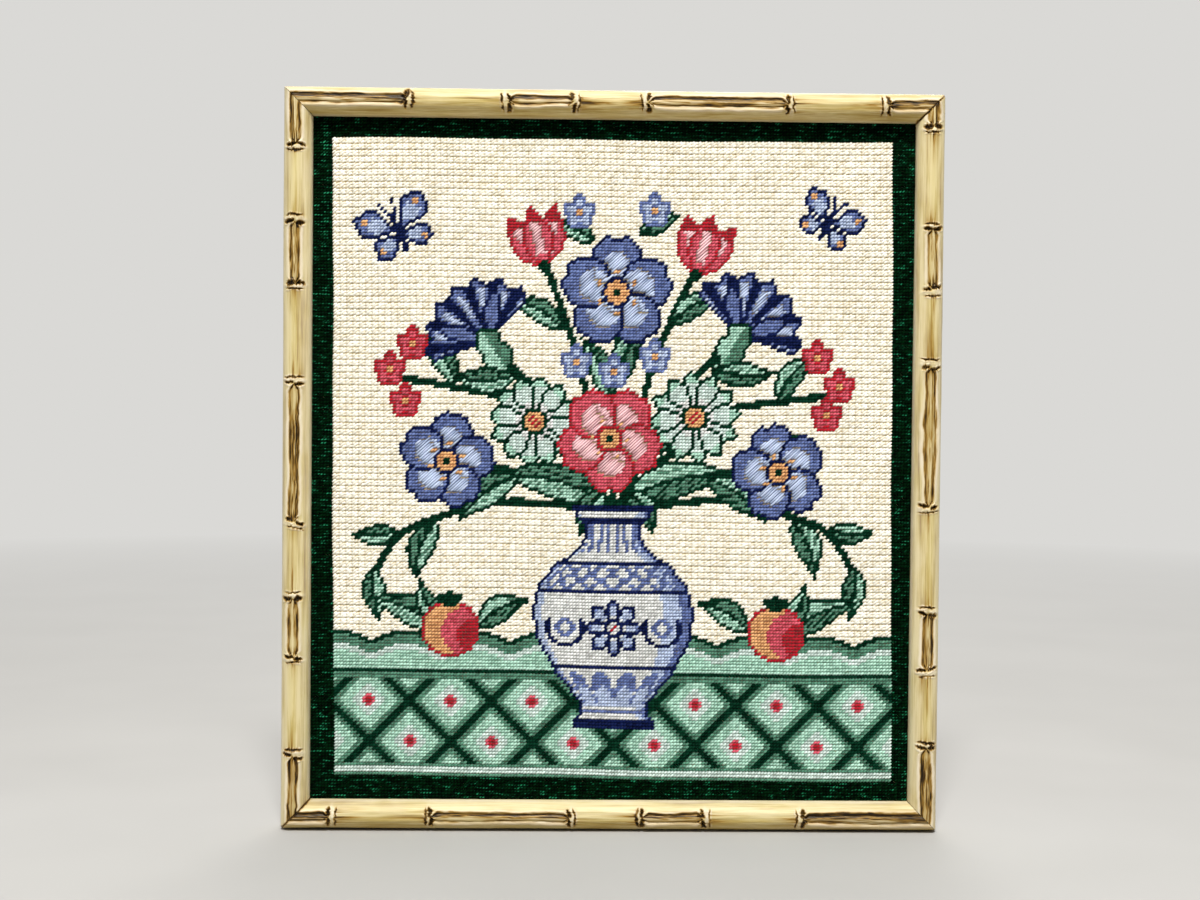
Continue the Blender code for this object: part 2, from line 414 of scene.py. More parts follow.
class Nodes:
    """A short way to write the nodes of a new material or world."""

    def __init__(self, name, kind="materials"):
        self.owner = getattr(bpy.data, kind).new(name)
        self.owner.use_nodes = True
        self.tree = self.owner.node_tree
        self.shader = self.tree.nodes.get("Principled BSDF")

    def add(self, kind, values=None, **settings):
        node = self.tree.nodes.new("ShaderNode" + kind)
        for key, value in settings.items():
            setattr(node, key, value)
        for socket, value in (values or {}).items():
            self.feed(node.inputs[socket], value)
        return node

    def feed(self, socket, value):
        """Links an output to a socket, or sets the socket's own value."""
        if isinstance(value, bpy.types.NodeSocket):
            self.tree.links.new(value, socket)
        else:
            socket.default_value = value

    def set(self, **values):
        for name, value in values.items():
            self.feed(self.shader.inputs[name.replace("_", " ")], value)

    def attribute(self, name, output="Fac"):
        return self.add("Attribute", attribute_name=name).outputs[output]

    def place(self):
        """The point itself in metres, because every piece sits at the origin."""
        return self.add("TexCoord").outputs["Object"]

    def noise(self, vector, scale, detail=2, rough=0.5):
        """Noise of one scale, or of a scale for each axis."""
        if isinstance(scale, tuple):
            vector = self.add("Mapping", {"Vector": vector, "Scale": scale}).outputs["Vector"]
            scale = 1
        values = {"Vector": vector, "Scale": scale, "Detail": detail, "Roughness": rough}
        return self.add("TexNoise", values).outputs["Fac"]

    def ramp(self, value, *stops):
        """A colour ramp through (place, colour) stops, with sRGB colours."""
        node = self.add("ValToRGB", {"Fac": value})
        points = node.color_ramp.elements
        while len(points) < len(stops):
            points.new(0.5)
        for point, (place, colour) in zip(points, stops):
            point.position = place
            point.color = linear(colour)
        return node.outputs["Color"]

    def mix(self, share, first, second, blend="MIX"):
        node = self.add("Mix", data_type="RGBA", blend_type=blend)
        sockets = [socket for socket in node.inputs if socket.type == "RGBA"]
        self.feed(node.inputs[0], share)
        self.feed(sockets[0], first)
        self.feed(sockets[1], second)
        return [socket for socket in node.outputs if socket.type == "RGBA"][0]

    def math(self, operation, first, second, clamp=False):
        return self.add("Math", {0: first, 1: second}, operation=operation, use_clamp=clamp).outputs[0]

    def times(self, first, second, clamp=False):
        return self.math("MULTIPLY", first, second, clamp)

    def plus(self, first, second):
        return self.math("ADD", first, second)

    def spread(self, value, low, high, start=0, end=1):
        """Moves a value from the range low to high onto start to end, and clamps it."""
        values = enumerate((value, low, high, start, end))
        return self.add("MapRange", dict(values)).outputs[0]

    def bump(self, height, distance, strength=1):
        values = {"Height": height, "Distance": distance, "Strength": strength}
        self.set(Normal=self.add("Bump", values).outputs["Normal"])


def is_dark(yarn):
    return max(YARNS[yarn]) < 100


def wool_material(yarn):
    """Wool yarn: fibres that twist along the stitch, a different tone to each stitch, soft fuzz,
    painted shade in each stitch's low parts and painted glints on the forest yarn's crests.
    """
    nodes = Nodes("wool_" + yarn)
    tone, rise = nodes.attribute("tone"), nodes.attribute("rise")
    fibres = nodes.noise(nodes.attribute("grain", "Vector"), (500, 2600, 40), 3, 0.6)
    patches = nodes.noise(nodes.place(), 28)
    light = nodes.spread(tone, 0, 1, 0.91, 1.07)
    light = nodes.times(light, nodes.spread(fibres, 0.3, 0.7, 0.9, 1.1))
    light = nodes.times(light, nodes.spread(patches, 0.3, 0.7, 0.97, 1.03))
    shade = nodes.add("CombineColor", {"Red": light, "Green": light, "Blue": light}).outputs[0]
    crest = linear(YARNS[yarn])
    # Painted shade: each stitch goes from its yarn's colour on the crest to a darker colour in its low
    # parts, where it dives into the canvas and meets its neighbours. On the forest yarn only the crest
    # keeps the yarn's colour.
    groove_shade, levels = [GROOVE_SHADE_SHARE * value**GROOVE_SHADE_POWER for value in crest[:3]], (0.24, 0.8)
    if yarn == "forest":
        levels = (0.38, 0.96)
    if yarn == "cream":
        groove_shade, levels = [value * share for value, share in zip(crest, GROOVE_SHADE_WARM)], (0.1, 0.56)
    uneven = nodes.plus(rise, nodes.spread(tone, 0, 1, -0.16, 0.16))
    colour = nodes.mix(nodes.spread(uneven, *levels), (*groove_shade, 1), crest)
    if yarn == "forest":
        # Painted glints: lighter green dashes on the crests of the forest stitches, where light catches
        # the fuzz
        painted_glint = nodes.spread(nodes.noise(nodes.place(), (150, 1, 640)), 0.56, 0.67)
        share = nodes.times(painted_glint, nodes.spread(rise, 0.5, 0.9))
        colour = nodes.mix(share, colour, linear(FOREST_PAINTED_GLINT))
    fuzz, shine = (0, 0.02) if is_dark(yarn) else (0.12, 0.2)
    nodes.set(Base_Color=nodes.mix(1, colour, shade, "MULTIPLY"), Roughness=0.8)
    nodes.set(Sheen_Weight=fuzz, Sheen_Roughness=0.5, Specular_IOR_Level=shine)
    nodes.bump(fibres, 0.00025, 0.8)
    return nodes.owner


def canvas_material():
    """Tan canvas: round threads that cross at the stitches' pitch."""
    nodes = Nodes("canvas_threads")
    values = {"Vector": nodes.place(), "Scale": 1 / (STITCH * 20)}
    waves = []
    for axis in ("X", "Z"):
        node = nodes.add("TexWave", values, wave_type="BANDS", bands_direction=axis)
        waves.append(node.outputs["Fac"])
    threads = nodes.math("MAXIMUM", *waves)
    colour = nodes.ramp(threads, (0.1, CANVAS_DEEP), (0.9, CANVAS_TAN))
    nodes.set(Base_Color=colour, Roughness=0.9)
    nodes.bump(threads, 0.0004)
    return nodes.owner


def wood_material():
    """Varnished pale wood with a fine lengthwise grain, brown staining and painted shade in the
    carving, and paler edges and slopes that are partly wear and partly painted highlight.
    """
    nodes = Nodes("varnished_wood")
    grain = nodes.attribute("grain", "Vector")
    broad = nodes.noise(grain, (14, 260, 1), 3, 0.55)
    fine = nodes.noise(grain, (30, 1150, 1), 4, 0.7)
    level = nodes.plus(nodes.times(broad, 0.4), nodes.times(fine, 0.35))
    level = nodes.plus(level, nodes.times(nodes.noise(grain, (26, 130, 1)), 0.25))
    colour = nodes.ramp(level, (0.385, WOOD_DEEP), (0.47, WOOD_MID), (0.55, WOOD_PALE))
    mottle = nodes.spread(nodes.noise(grain, (60, 120, 1)), 0.3, 0.6, 0.5, 1)
    # Paler where the moulding is rubbed and where a painted highlight stands in for light on slopes,
    # lips and edges
    colour = nodes.mix(nodes.times(nodes.attribute("wear_and_highlight"), mottle), colour, linear(WOOD_WEAR_AND_HIGHLIGHT))
    streaks = nodes.spread(nodes.noise(grain, (110, 1700, 1)), 0.28, 0.62, 0.35, 1.25)
    # Brown from the carving's real staining and from painted shade on the slopes and hollow walls that
    # face down
    stain_and_shade = nodes.times(nodes.attribute("stain_and_shade"), streaks, clamp=True)
    for low, high, brown in ((0, 0.35, TAN_STAIN_AND_SHADE), (0.3, 0.68, BROWN_STAIN_AND_SHADE), (0.65, 0.95, DARK_STAIN_AND_SHADE)):
        colour = nodes.mix(nodes.spread(stain_and_shade, low, high), colour, linear(brown))
    nodes.set(Base_Color=colour, Roughness=nodes.spread(fine, 0.3, 0.7, 0.36, 0.52))
    nodes.set(Coat_Weight=0.1, Coat_Roughness=0.36, Specular_IOR_Level=0.32)
    nodes.set(Specular_Tint=linear(VARNISH_TINT))
    nodes.bump(nodes.plus(fine, nodes.times(broad, 1.5)), 0.00012, 0.7)
    return nodes.owner


def raw_wood_material():
    """Bare sawn wood, as on the moulding's back."""
    nodes = Nodes("raw_wood")
    grain = nodes.attribute("grain", "Vector")
    broad = nodes.noise(grain, (9, 170, 1), 4, 0.6)
    saw = nodes.noise(grain, (700, 60, 1), 1)
    colour = nodes.ramp(broad, (0.32, RAW_DEEP), (0.62, RAW_PALE))
    colour = nodes.mix(nodes.spread(saw, 0.5, 0.75, 0, 0.25), colour, linear(RAW_DEEP))
    nodes.set(Base_Color=colour, Roughness=0.8)
    nodes.bump(nodes.plus(broad, saw), 0.0002, 0.6)
    return nodes.owner


def card_material():
    """Brown pulp board: short fibres and specks."""
    nodes = Nodes("pulp_board")
    place = nodes.place()
    pulp = nodes.noise(place, 900, 4, 0.7)
    level = nodes.plus(nodes.times(pulp, 0.8), nodes.times(nodes.noise(place, 14, 3), 0.2))
    colour = nodes.ramp(level, (0.32, CARD_DEEP), (0.66, CARD_PALE))
    specks = nodes.add("TexVoronoi", {"Vector": place, "Scale": 420}).outputs["Distance"]
    colour = nodes.mix(nodes.spread(specks, 0.05, 0.16, 0.55, 0), colour, linear(CARD_SPECK))
    nodes.set(Base_Color=colour, Roughness=0.88)
    nodes.bump(pulp, 0.0002, 0.5)
    return nodes.owner


# Where the design's corners fall, in stitches from the lower left corner of the opening, how wide
# the border is worked, and how much of it the frame may hide
LOW_LEFT, LOW_RIGHT = (7.4, 7.4), (185.85, 5.8)
TOP_LEFT, TOP_RIGHT = (5.92, 210.02), (183.8, 210.6)
BORDER, HIDDEN = 10, 1.5

# The most stitches that one piece holds
MOST_STITCHES = 10500

# The canvas's thickness, how far a stitch stands off it, and the width and height of a tent stitch,
# a mosaic stitch and a satin stitch
CANVAS_THICKNESS, YARN_BASE = 0.0012, 0.0001
GROUND_FRONT = CANVAS_BACK - CANVAS_THICKNESS
STITCH_SIZES = np.array(((0.00185, 0.00115), (0.0019, 0.00122), (0.0017, 0.00108)))

# One stitch: points as (place along, side, half width, rise), as shares of its own sizes
TIP_RISE = 0.12
RINGS = ((0.14, 0.97, 0.66), (0.5, 1, 1), (0.86, 0.97, 0.66))
EDGE_RISE = 0.16


def lattice(i, j):
    """Where a corner of the canvas's mesh lies, in metres. The stretched canvas isn't quite square,
    and its threads wander."""
    across, up = i / WIDE, j / TALL
    low = np.outer(1 - across, LOW_LEFT) + np.outer(across, LOW_RIGHT)
    top = np.outer(1 - across, TOP_LEFT) + np.outer(across, TOP_RIGHT)
    place = low * (1 - up)[:, None] + top * up[:, None]
    place[:, 0] += 0.2 * np.sin(j / 23 + 1.1) + 0.1 * np.sin(j / 7.3 + i / 41)
    place[:, 1] += 0.24 * np.sin(i / 29 + 0.4) + 0.11 * np.sin(i / 9.1 + j / 37)
    place[:, 1] += 0.05 * np.sin(j * 2.4) * np.sin(i / 13 + j)
    return place * STITCH + OPENING_LOW


def plan_stitches():
    """Every stitch as a row of (yarn, kind, i, j, cells along), with the plain border added. Cream
    ground is mosaic stitch, satin places are long slanting stitches, and the rest is tent stitch."""
    cells = np.pad(YARN_CELLS, BORDER, constant_values=YARN_NAMES.index("forest"))
    free = np.ones_like(cells, bool)
    cream = YARN_NAMES.index("cream")
    rows = []
    for j in range(0, cells.shape[0] - 1, 2):
        for i in range(0, cells.shape[1] - 1, 2):
            if (cells[j : j + 2, i : i + 2] == cream).all():
                free[j : j + 2, i : i + 2] = False
                rows += [(cream, 1, i, j, 2), (cream, 0, i, j + 1, 1), (cream, 0, i + 1, j, 1)]
    satin = np.pad(SATIN_CELLS, BORDER) & free
    for j, i in zip(*np.nonzero(satin)):
        reach = 0
        while reach < 5 and satin[j + reach, i + reach] and cells[j + reach, i + reach] == cells[j, i]:
            satin[j + reach, i + reach] = free[j + reach, i + reach] = False
            reach += 1
        if reach:
            rows.append((cells[j, i], 2, i, j, reach))
    for j, i in zip(*np.nonzero(free)):
        rows.append((cells[j, i], 0, i, j, 1))
    plan = np.array(rows, float)
    plan[:, 2:4] -= BORDER
    return plan


def yarn_template():
    """A stitch's points, faces and, for each face's corners, their places in the unwrapped yarn."""
    points = [(0, 0, 0, TIP_RISE)]
    for along, half, rise in RINGS:
        for side, share in ((-1, EDGE_RISE), (0, 1), (1, EDGE_RISE)):
            points.append((along, side, half, share * rise))
    points.append((1, 0, 0, TIP_RISE))
    last = len(points) - 1
    faces, unwrapped = [], []
    for side, (first, second) in enumerate(((0, 0.33), (0.33, 0.66), (0.66, 1))):
        after = (side + 1) % 3
        middle = (first + second) / 2
        faces.append((0, 1 + after, 1 + side))
        unwrapped.append(((0, middle), (RINGS[0][0], second), (RINGS[0][0], first)))
        for near in range(1, last - 3, 3):
            faces.append((near + side, near + after, near + 3 + after, near + 3 + side))
            start, end = points[near][0], points[near + 3][0]
            unwrapped.append(((start, first), (start, second), (end, second), (end, first)))
        faces.append((last - 3 + side, last - 3 + after, last))
        unwrapped.append(((RINGS[-1][0], first), (RINGS[-1][0], second), (1, middle)))
    return np.array(points), faces, unwrapped


def joined_mesh(name, points, faces, unwrapped):
    """Many copies of one small closed shape as one mesh. points is (copies, points each, 3)."""
    copies, each = points.shape[:2]
    mesh = bpy.data.meshes.new(name)
    mesh.vertices.add(copies * each)
    fill(mesh.vertices, "co", points)
    loops = np.concatenate(faces) + (np.arange(copies) * each)[:, None]
    mesh.loops.add(loops.size)
    fill(mesh.loops, "vertex_index", loops, np.int32)
    sizes = np.tile([len(face) for face in faces], copies)
    mesh.polygons.add(len(sizes))
    fill(mesh.polygons, "loop_start", np.cumsum(sizes) - sizes, np.int32)
    fill(mesh.polygons, "use_smooth", sizes > 0, bool)
    grid = math.ceil(math.sqrt(copies))
    cell = np.stack((np.arange(copies) % grid, np.arange(copies) // grid), axis=1)
    uv = (cell[:, None, :] + 0.08 + 0.84 * np.concatenate(unwrapped)) / grid
    fill(mesh.uv_layers.new(name="OFBake").data, "uv", uv)
    mesh.update(calc_edges=True)
    mesh.validate()
    return mesh


def fill(data, field, values, kind=np.float32):
    """Sets one field of all of a mesh's points, corners or faces."""
    data.foreach_set(field, np.asarray(values).reshape(-1).astype(kind))


def add_attribute(mesh, name, values):
    """Sets a number at each point, or a vector if the values have a third axis."""
    kind, field = ("FLOAT_VECTOR", "vector") if values.ndim == 3 else ("FLOAT", "value")
    fill(mesh.attributes.new(name, kind, "POINT").data, field, values)


def linked(name, data):
    """A new object in the scene."""
    thing = bpy.data.objects.new(name, data)
    bpy.context.scene.collection.objects.link(thing)
    return thing


def stitch_object(name, plan, yarn):
    """One piece holding all the given stitches of one yarn."""
    template, faces, unwrapped = yarn_template()
    along, edge, half, rise = template.T
    kind, i, j, reach = plan[:, 1:].T
    count, dark = len(plan), is_dark(yarn)
    lean = np.where(kind == 1, 0.12, 0.05 if dark else 0.11)
    spread = -0.17 if yarn == "cream" or dark else -0.15
    wobble = random.normal(0, 0.034, (count, 4)).T
    start = lattice(i + spread + wobble[0], j + lean + wobble[1])
    end = lattice(i + reach - spread + wobble[2], j + reach - lean + wobble[3])
    width, height = STITCH_SIZES[kind.astype(int)].T
    width = (width * random.normal(1.06 if dark else 1, 0.04, count))[:, None]
    height = (height * random.normal(0.88 if dark else 1, 0.05, count).clip(0.78, 1.08))[:, None]

    run = end - start
    length = np.linalg.norm(run, axis=1)[:, None]
    side = np.stack((-run[:, 1], run[:, 0]), axis=1) / length
    flat = start[:, None] + along[:, None] * run[:, None]
    flat = flat + (edge * half * width / 2)[:, :, None] * side[:, None]
    forwards = GROUND_FRONT - (YARN_BASE + rise * height)
    points = np.stack((flat[:, :, 0], forwards, flat[:, :, 1]), axis=2)

    mesh = joined_mesh(name, points, faces, unwrapped)
    grain = np.zeros((count, len(template), 3))
    grain[:, :, 0] = along * length
    grain[:, :, 1] = edge * width / 2 + random.uniform(0, 1, count)[:, None]
    grain[:, :, 2] = random.uniform(0, 1, count)[:, None]
    add_attribute(mesh, "grain", grain)
    add_attribute(mesh, "tone", np.repeat(random.uniform(0, 1, count), len(template)))
    add_attribute(mesh, "rise", np.tile(rise, count))
    mesh.materials.append(wool_material(yarn))
    piece = linked(name, mesh)
    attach(piece, "root")
    return piece


# The moulding. u runs inwards from the outer edge and v forwards from the back, as in the solids.
CROWN_CENTRE, CROWN_BASE, CROWN_RISE = 0.0085, 0.0105, 0.0095
LIP_BACK, RABBET_START = 0.009, 0.0135
BACK_CORNERS = ((FACE, LIP_BACK), (RABBET_START, LIP_BACK), (RABBET_START, 0), (0, 0))
MITRE_GAP = 0.0003
SHARP_ANGLE = math.radians(50)
KNUCKLES = {
    "rail_top": (0.0798, 0.1401, 0.1842, 0.228, 0.3187, 0.3791),
    "stile_right": (0.0227, 0.0838, 0.1256, 0.171, 0.2631, 0.327, 0.3673, 0.4131),
    "rail_bottom": (0.0881, 0.1478, 0.1903, 0.2325, 0.3241, 0.3848),
    "stile_left": (0.0485, 0.1081, 0.1489, 0.1939, 0.2836, 0.3432, 0.3853, 0.4297),
}

# The sections' spacing: (how far from a knuckle, step), and the finest one at an open mitre
SECTION_STEPS = ((0.0058, 0.00033), (0.009, 0.0007), (1, 0.0017))
MITRE_STEP = 0.0005
STATIONS = 54

# The carving, in millimetres
KNUCKLE_CENTRE = 8.6
TROUGH_CENTRE = 8.2
TROUGH_ACROSS = (0, 0.9, 1.7, 2.4, 3, 3.5, 4.4, 6.2)
TROUGH_RISE = (-0.42, -0.52, -0.85, -1.2, -1.05, -0.1, 0.32, 0)


def peak(value, centre, width):
    return np.exp(-(((value - centre) / width) ** 2))


def wander(places, spacing):
    """Smooth random values, about one bend to each spacing, for places in one unit."""
    low, high = places.min() - spacing, places.max() + spacing
    knots = np.arange(low, high + spacing, spacing)
    values = random.normal(0, 1, len(knots))
    share = (places - low) / spacing
    first = np.clip(share.astype(int), 0, len(knots) - 2)
    blend = share - first
    blend = blend * blend * (3 - 2 * blend)
    return values[first] * (1 - blend) + values[first + 1] * blend


def section_places(name, length):
    """Where the sections lie along one length: close together at the knuckles and the open mitre."""
    places = [-MITRE_GAP]
    while places[-1] < length:
        nearest = min(abs(places[-1] - knuckle) for knuckle in KNUCKLES[name])
        step = next(step for reach, step in SECTION_STEPS if nearest <= reach)
        from_mitre = length - places[-1] if name.startswith("rail") else places[-1]
        if from_mitre < FACE + 0.001:
            step = min(step, MITRE_STEP)
        places.append(places[-1] + step)
    return np.array(places)


def crown_stations():
    """Places across the moulding's front, closest together over the carving."""
    turn = np.linspace(0, 1, 400)
    outer = CROWN_CENTRE * (1 - np.cos(turn * np.pi / 2))
    inner = CROWN_CENTRE + (FACE - CROWN_CENTRE) * np.sin(turn[1:] * np.pi / 2)
    u = np.concatenate((outer, inner))
    run = np.hypot(np.diff(u), np.diff(crown_height(u)))
    middle = (u[1:] + u[:-1]) / 2
    density = np.where((middle > 0.0035) & (middle < 0.0132), 1, 0.5)
    effort = np.concatenate(([0], np.cumsum(run * density)))
    return np.interp(np.linspace(0, effort[-1], STATIONS), effort, u)


def crown_height(u):
    reach = np.where(u < CROWN_CENTRE, CROWN_CENTRE, FACE - CROWN_CENTRE)
    share = (u - CROWN_CENTRE) / reach
    return CROWN_BASE + CROWN_RISE * np.sqrt(np.maximum(0, 1 - share * share))


def carve_trough(s, u, knuckles, length, upper, rise, stain_and_shade, wear_and_highlight):
    """The hollow between two knuckles: a tongue between two grooves, with a brown line at each side.
    upper says which side faces up: -1 the outer one, 1 the inner one, 0 neither."""
    bounds = (-1000, *knuckles, length + 1000)
    stretches = zip(bounds[::2], bounds[1::2])
    inside = np.max([np.minimum(s - start, end - s) for start, end in stretches], axis=0)
    x = u - TROUGH_CENTRE - (wander(s, 38) * 0.2 + wander(s, 9) * 0.12)
    narrow = np.sqrt(np.clip((inside - 2.2) / 3.6, 0, 1)) * (1 + 0.08 * wander(s, 19))
    depth = np.clip((inside - 2.2) / 2, 0, 1) * (1 + 0.12 * wander(s, 27))
    across = abs(x) / np.maximum(narrow, 0.05)
    ragged = across + 0.1 * wander(s, 3.1) + 0.07 * np.sign(x) * wander(s, 2.2)
    rise += depth * np.interp(ragged, TROUGH_ACROSS, TROUGH_RISE)

    # Painted shade: the wall under the upper edge is in shade, so its line and band are painted darker,
    # and more on the lower rail, where that wall also turns from the camera. The lower side's outer
    # line is painted lighter.
    high = np.sign(x) * upper
    lower, turned = high < 0, (high > 0) * (upper > 0)
    fat = np.clip(0.46 + 0.15 * wander(s, 9) + 0.16 * high + 0.32 * turned, 0.26, 1.15)
    drift = 0.3 * wander(s, 9) + 0.15 * wander(s, 3)
    streaks = (0.6 + 0.55 * wander(x + 0.012 * s + drift, 0.42)).clip(0, 1.7)
    faded = np.where(x < 0, wander(s, 24), wander(s, 24)) * 0.22 + 0.95
    strength = 0.84 + 0.34 * high + 0.3 * turned - 0.34 * lower + 0.22 * wander(s, 7)
    line = peak(ragged, 2.9 + 0.4 * turned, fat) * strength
    strength = np.clip(0.7 + 0.5 * wander(s, 6), 0, 1.2)
    line = line + 0.75 * lower * peak(ragged, 1.9, 0.34) * strength
    line = line * faded.clip(0.45, 1.25) * (0.75 + 0.3 * streaks)
    # A brown band just inside each line: staining, with painted shade added on the side that faces up
    # and more on the lower rail
    shade = np.clip(0.36 + 0.4 * high + 0.4 * turned + 0.24 * wander(s, 7), 0, 1.3)
    shade = shade * peak(ragged, 2 - 0.4 * turned, 1.1) * (0.4 + 0.75 * streaks)
    soiled = np.clip(0.24 + 0.28 * wander(s, 18), 0.04, 0.75)
    burnt = np.exp(-np.maximum(inside - 3, 0) / 4) * np.clip(0.2 + 0.6 * wander(s, 21), 0, 1.2)
    middle = (across < 2.5) * (soiled * (1 - 0.3 * abs(upper)) + burnt) * streaks
    for spacing, place in ((8, 0.8), (12, -1), (6, -0.2)):
        crack = np.clip(wander(s, spacing), 0, 1) * peak(x + 0.15 * wander(s, 5), place, 0.26)
        rise -= depth * 0.16 * crack
        stain_and_shade += depth * 0.55 * crack
    stain_and_shade += depth * (line + shade + middle)
    # Painted highlight: the lower lip, whose wall faces up to the light, is painted pale. The lips and
    # the tongue are paler, partly from wear and partly painted highlight, more so on the rails.
    wear_and_highlight += depth * lower * 0.9 * peak(ragged, 3.2, 0.8)
    tongue = (0.3 + 0.3 * abs(upper)) * peak(across, 0.3, 1.1)
    wear_and_highlight += depth * (peak(ragged, 4.3, 0.85) + tongue)


def stroke(y, t, ends, place, tilt, bend, thick):
    """One tapered mark of the gouge across the grain: 1 along its middle line, 0 away from it."""
    v = (y - (ends[0] + ends[1]) / 2) / ((ends[1] - ends[0]) / 2)
    line = place + tilt * v + bend * v * v + 0.24 * wander(y, 1.2)
    thick = thick * (1 + 0.28 * wander(y, 0.8)).clip(0.45, 1.5)
    body = 1 / (1 + np.exp((abs(v) - 0.92) / 0.06))
    return body * peak(t, line, thick * np.clip(1.15 - 0.55 * v * v, 0.4, 1.2))


def carve_knuckle(s, u, knuckle, side, rise, stain_and_shade, wear_and_highlight):
    """A raised band between a thin slit and two fat cuts. t runs from the band into the hollow."""
    y = u - KNUCKLE_CENTRE - random.normal(0, 0.3)
    t = side * (s - knuckle) + random.normal(0, 0.05) * y + 0.14 * wander(u, 2.6)
    slit_at, cut_at = -random.uniform(1.1, 2.7), random.uniform(1.2, 2.6)
    cut, cut_lips, step = 0, 0, random.normal(0, 0.45)
    for half in (-1, 1):
        inner, outer = random.uniform(0.1, 0.9), random.uniform(5.4, 6.8)
        ends = sorted((half * inner, half * outer))
        place, tilt = cut_at + half * step, half * random.normal(0.1, 0.45)
        bend, thick = random.normal(-0.1, 0.4), random.uniform(0.7, 1.15)
        strength = random.uniform(0.8, 1.3)
        cut = np.maximum(cut, strength * stroke(y, t, ends, place, tilt, bend, thick))
        for lip in (place + thick + 0.65, place - thick - 0.6):
            cut_lips = cut_lips + stroke(y, t, ends, lip, tilt, bend, 0.55)
    bend, thick = random.normal(0, 0.6), random.uniform(0.36, 0.75)
    strength = random.uniform(0.7, 1.3)
    ends = (random.uniform(-6.6, -4.8), random.uniform(4.8, 6.6))
    slit = strength * stroke(y, t, ends, slit_at, random.normal(0, 0.35), bend, thick)
    slit = slit * np.clip(0.9 + 0.35 * wander(u, 2.6), 0.25, 1.2)
    slit_lips = sum(stroke(y, t, ends, slit_at + lip, 0, bend, 0.5) for lip in (-0.95, 0.95))

    # The hollow's two lines run together into a notch at the cuts
    past = t - cut_at
    notch = peak(abs(y), 0.68 * past, 0.4) * ((past > -0.5) & (past < 3.2))
    notch = notch * random.uniform(0.6, 1.2)
    band = np.clip(1 - (abs(y) / 8.4) ** 4, 0, 1) * peak(t, (cut_at + slit_at) / 2, 1.2)
    rise += 0.35 * band + 0.42 * cut_lips
    rise += 0.34 * slit_lips - 1.55 * cut - 0.75 * slit - 0.6 * notch
    stain_and_shade += 1.6 * cut + 1.25 * slit + 0.95 * notch
    # The raised band and the lips beside the cuts and the slit are paler, partly from wear and partly
    # painted highlight
    wear_and_highlight += 0.5 * band + cut_lips + 0.8 * slit_lips

    # A thin split runs on from the slit and fades
    away = np.maximum(slit_at - t, 0)
    beyond = slit_at > t
    fade = beyond * np.exp(-(away / random.uniform(5, 20)) ** 2)
    faint = random.uniform(0, 1) ** 2
    spread = 0.45 + 0.03 * away.clip(0, 20)
    split = fade * peak(u - TROUGH_CENTRE, random.normal(0, 0.5), spread)
    seep = beyond * np.exp(-away / random.uniform(3, 11))
    seep = seep * np.clip(0.3 + 0.5 * wander(u, 0.9), 0, 1) * peak(y, 0, 3.6) * random.uniform(0.3, 1.1)
    rise -= 0.25 * faint * split
    stain_and_shade += (0.1 + 0.5 * faint) * split + seep


def carving(s, u, name, length):
    """How far the carving stands out of the plain moulding, how brown it is from staining and painted
    shade and how pale from wear and painted highlight, at each place along (rows) and across
    (columns). Everything in here is in millimetres."""
    s, u = s[:, None] * 1000, u[None, :] * 1000
    knuckles, length = np.array(KNUCKLES[name]) * 1000, length * 1000
    upper = {"rail_top": -1, "rail_bottom": 1}.get(name, 0)
    relief = rise, stain_and_shade, wear_and_highlight = np.zeros((3, s.size, u.size))
    for spacing, size in ((5.3, 0.07), (2.9, 0.05), (1.3, 0.03)):
        phase = wander(s, 55) * 0.35 + wander(s, 17) * 0.12
        rise += size * np.sin(2 * np.pi * (u / spacing + phase))
    # Painted light and shade: on the rails the slope that faces up is painted paler and the slope that
    # faces down is painted darker. On the stiles both slopes are paler away from the crown.
    lean = np.tanh((u - TROUGH_CENTRE) / 3)
    wear_and_highlight += 0.34 * np.clip(upper * lean, 0, 1) + (0.4 * lean**2 if upper == 0 else 0)
    stain_and_shade += 0.16 * np.clip(-upper * lean, 0, 1)
    carve_trough(s, u, knuckles, length, upper, *relief)
    for index, knuckle in enumerate(knuckles):
        carve_knuckle(s, u, knuckle, -1 if index % 2 == 0 else 1, *relief)

    # A dark gap along the mitre that has opened a little
    away = ((length - s if name.startswith("rail") else s) - u) / math.sqrt(2)
    rise -= 0.5 * peak(away, 0, 0.5)
    stain_and_shade += 1.1 * peak(away, 0, 0.45)
    edge = FACE * 1000
    rise *= np.clip((edge - u) / 1.6, 0, 1)
    # Painted highlight: a pale line along the inner edge
    wear_and_highlight += 0.5 * peak(u, edge, 0.6)
    return rise, stain_and_shade.clip(0, 1), wear_and_highlight.clip(0, 1)


